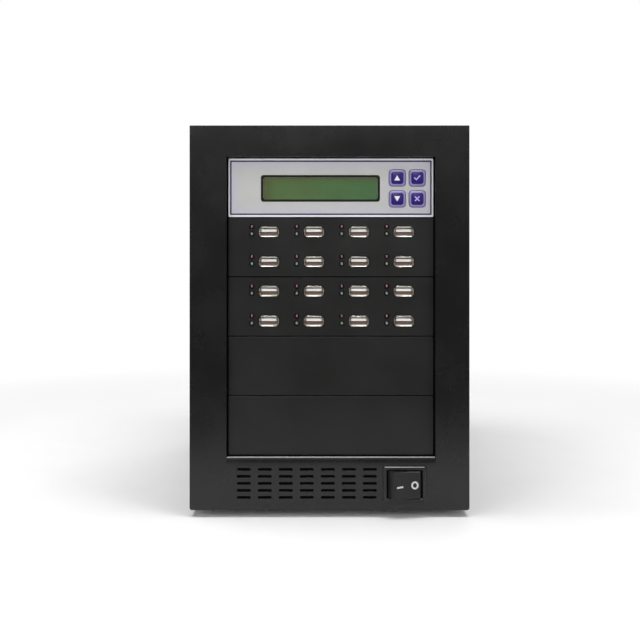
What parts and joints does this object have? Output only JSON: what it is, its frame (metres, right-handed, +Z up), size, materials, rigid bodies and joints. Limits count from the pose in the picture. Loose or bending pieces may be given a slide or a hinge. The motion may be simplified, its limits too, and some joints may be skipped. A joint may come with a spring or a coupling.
{
  "type": "usb flash drive duplicator",
  "caption": "Black steel tower that copies USB flash drives, with a text display, keys, socket bays with lamps, blank bay covers, vents and a mains rocker switch.",
  "frame": {"origin": "middle of the footprint, on the surface that the tower stands on", "axes": "+X to the right seen from the front, +Y from the front panel to the rear, +Z up"},
  "size_m": [0.2, 0.3406, 0.28],
  "materials": {
    "black_steel": "semi-gloss black powder coat",
    "zinc_steel": "bare zinc-coated sheet",
    "nickel": "nickel plate",
    "grey_plastic": "smooth light grey",
    "black_plastic": "fine matt black",
    "blue_plastic": "satin dark blue",
    "clear_window": "clear",
    "display_glass": "backlit green display",
    "circuit_board": "green solder mask",
    "ribbon_grey": "flat grey cable",
    "rubber": "matt black rubber"
  },
  "bodies": {
    "chassis": {"base_tray": "zinc_steel", "blank_cover_lower": "black_plastic", "blank_cover_upper": "black_plastic", "cage_left": "zinc_steel", "cage_right": "zinc_steel", "cage_top": "zinc_steel", "controller_board": "circuit_board", "display_board": "circuit_board", "display_faceplate": "grey_plastic", "display_frame": "zinc_steel", "display_glass": "display_glass", "display_window": "clear_window", "foot_front_left": "rubber", "foot_front_right": "rubber", "foot_rear_left": "rubber", "foot_rear_right": "rubber", "front_panel": "black_steel", "key_board": "circuit_board", "mains_inlet": "black_plastic", "psu_board": "circuit_board", "psu_cover": "zinc_steel", "psu_fan_frame": "black_plastic", "psu_tray": "zinc_steel", "rear_fan_frame": "black_plastic", "rear_fan_guard": "nickel", "rear_panel": "zinc_steel", "ribbon_cable": "ribbon_grey", "switch_housing": "black_plastic", "usb_board_lower": "circuit_board", "usb_board_upper": "circuit_board", "usb_faceplate_lower": "black_plastic", "usb_faceplate_upper": "black_plastic", "usb_port_01": "nickel", "usb_port_02": "nickel", "usb_port_03": "nickel", "usb_port_04": "nickel", "usb_port_05": "nickel", "usb_port_06": "nickel", "usb_port_07": "nickel", "usb_port_08": "nickel", "usb_port_09": "nickel", "usb_port_10": "nickel", "usb_port_11": "nickel", "usb_port_12": "nickel", "usb_port_13": "nickel", "usb_port_14": "nickel", "usb_port_15": "nickel", "usb_port_16": "nickel"},
    "cover": {"top_cover": "black_steel", "cover_screw_1": "nickel", "cover_screw_2": "nickel", "cover_screw_3": "nickel", "cover_screw_4": "nickel"},
    "up_key": {"key_up": "blue_plastic"},
    "down_key": {"key_down": "blue_plastic"},
    "ok_key": {"key_ok": "blue_plastic"},
    "esc_key": {"key_esc": "blue_plastic"},
    "rocker": {"switch_rocker": "black_plastic"},
    "rear_fan": {"rear_fan_rotor": "black_plastic"},
    "supply_fan": {"psu_fan_rotor": "black_plastic"}
  },
  "joints": [
    {"name": "cover_slide", "type": "slide", "parent": "chassis", "child": "cover", "axis": [0, 1, 0], "range_m": [0, 0.33]},
    {"name": "up_press", "type": "slide", "parent": "chassis", "child": "up_key", "axis": [0, 1, 0], "range_m": [0, 0.0005], "stiffness_N_per_m": 1500, "springref_m": -0.0002},
    {"name": "down_press", "type": "slide", "parent": "chassis", "child": "down_key", "axis": [0, 1, 0], "range_m": [0, 0.0005], "stiffness_N_per_m": 1500, "springref_m": -0.0002},
    {"name": "ok_press", "type": "slide", "parent": "chassis", "child": "ok_key", "axis": [0, 1, 0], "range_m": [0, 0.0005], "stiffness_N_per_m": 1500, "springref_m": -0.0002},
    {"name": "esc_press", "type": "slide", "parent": "chassis", "child": "esc_key", "axis": [0, 1, 0], "range_m": [0, 0.0005], "stiffness_N_per_m": 1500, "springref_m": -0.0002},
    {"name": "rocker_throw", "type": "hinge", "parent": "chassis", "child": "rocker", "pos_m": [0.0536, -0.16028, 0.0238], "axis": [0, 0, -1], "range_deg": [0, 26]},
    {"name": "rear_fan_spin", "type": "hinge", "parent": "chassis", "child": "rear_fan", "pos_m": [0, 0.15843, 0.191], "axis": [0, 1, 0], "continuous": true},
    {"name": "supply_fan_spin", "type": "hinge", "parent": "chassis", "child": "supply_fan", "pos_m": [-0.028, 0.15712, 0.0493], "axis": [0, 1, 0], "continuous": true}
  ]
}
